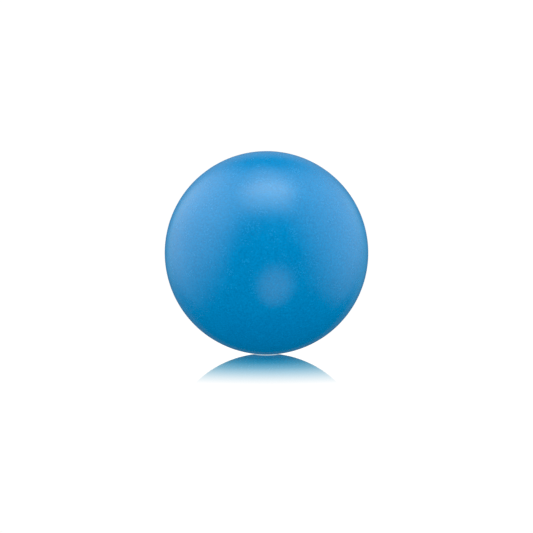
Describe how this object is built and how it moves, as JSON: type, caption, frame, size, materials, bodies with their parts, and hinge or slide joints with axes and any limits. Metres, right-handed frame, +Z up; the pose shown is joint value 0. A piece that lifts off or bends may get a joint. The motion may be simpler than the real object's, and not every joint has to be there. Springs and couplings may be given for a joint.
{
  "type": "croquet ball",
  "caption": "Smooth full-size croquet ball: two plastic half-shells with a stepped joint, cemented round a compressed-cork core.",
  "frame": {"origin": "the ball's centre", "axes": "+Z up as the ball stands; the Y axis runs through the poles of the two half-shells, with the front half at -Y and the joint between them on the plane Y = 0"},
  "size_m": [0.092, 0.092, 0.092],
  "materials": {
    "shell": "smooth through-coloured blue plastic, satin polish",
    "cork": "compressed cork granules in a dark binder, unfinished",
    "cement": "cured cement, tinted dark blue"
  },
  "bodies": {
    "root": {"cork_core": "cork", "front_core_bond": "cement", "front_shell": "shell", "rear_core_bond": "cement", "rear_shell": "shell", "seam_bond": "cement"}
  },
  "joints": []
}
